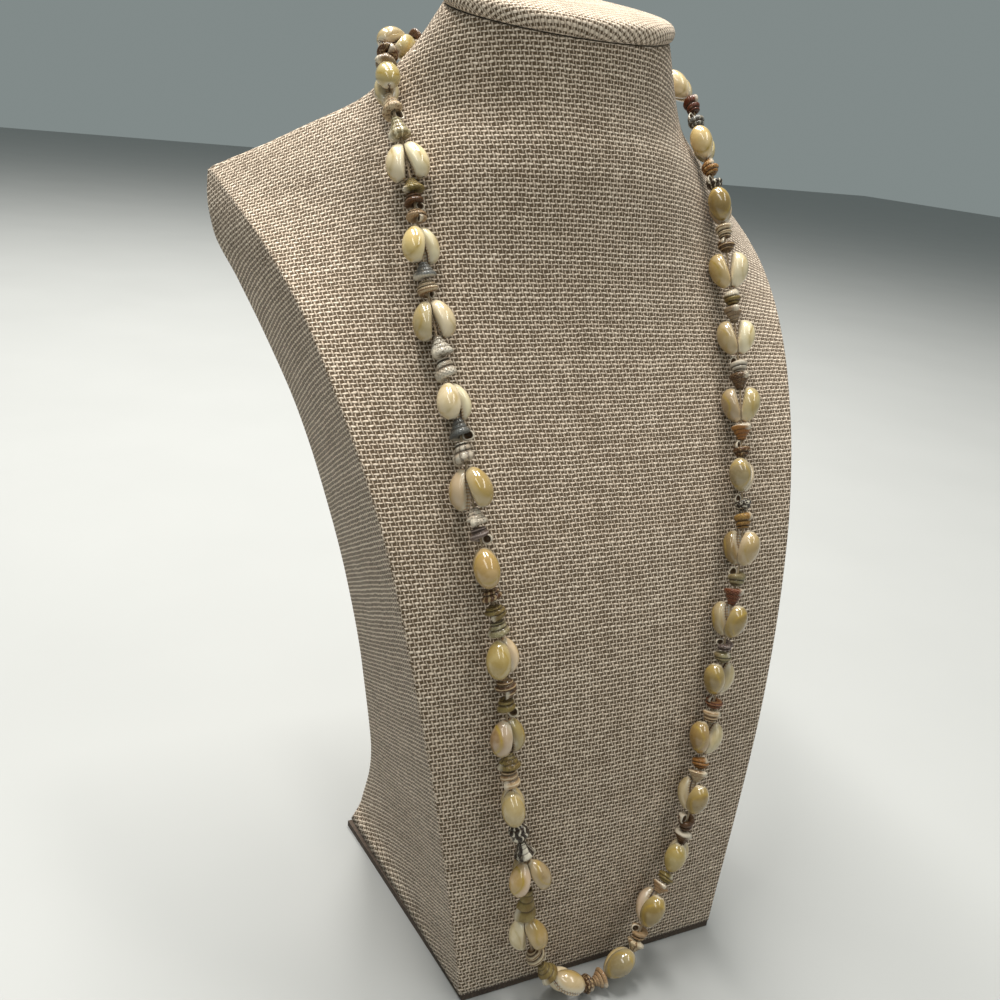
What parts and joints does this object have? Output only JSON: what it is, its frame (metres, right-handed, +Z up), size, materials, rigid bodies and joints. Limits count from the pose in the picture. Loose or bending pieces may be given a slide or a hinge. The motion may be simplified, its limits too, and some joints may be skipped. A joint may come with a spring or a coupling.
{
  "type": "cowrie shell necklace on a neck bust",
  "caption": "Long single-string necklace of paired cowries and small striped sea shells, laid over a linen covered display neck bust.",
  "frame": {"origin": "on the floor, under the middle of the whole thing's box", "axes": "+Z up, the bust's front and the string's lowest shells face -Y, +X is the right in a front view"},
  "size_m": [0.263, 0.1951, 0.3854],
  "materials": {
    "linen": "coarse plain weave",
    "board": "matte",
    "thread": "matte",
    "cowrie": "glossy",
    "small_shell": "satin"
  },
  "bodies": {
    "root": {"bust_body": "linen", "neck_cap": "linen", "base_board": "board", "thread": "thread", "small_shells_left": "small_shell", "small_shells_right": "small_shell", "cowries_01": "cowrie", "cowries_02": "cowrie", "cowries_03": "cowrie", "cowries_04": "cowrie", "cowries_05": "cowrie", "cowries_06": "cowrie", "cowries_07": "cowrie", "cowries_08": "cowrie", "cowries_09": "cowrie", "cowries_10": "cowrie", "cowries_11": "cowrie", "cowries_12": "cowrie", "cowries_13": "cowrie", "cowries_14": "cowrie", "cowries_15": "cowrie", "cowries_16": "cowrie", "cowries_17": "cowrie", "cowries_18": "cowrie", "cowries_19": "cowrie", "cowries_20": "cowrie", "cowries_21": "cowrie", "cowries_22": "cowrie", "cowries_23": "cowrie", "cowries_24": "cowrie", "cowries_25": "cowrie", "cowries_26": "cowrie", "cowries_27": "cowrie", "cowries_28": "cowrie", "cowries_29": "cowrie", "cowries_30": "cowrie", "cowries_31": "cowrie", "cowries_32": "cowrie", "cowries_33": "cowrie"}
  },
  "joints": []
}
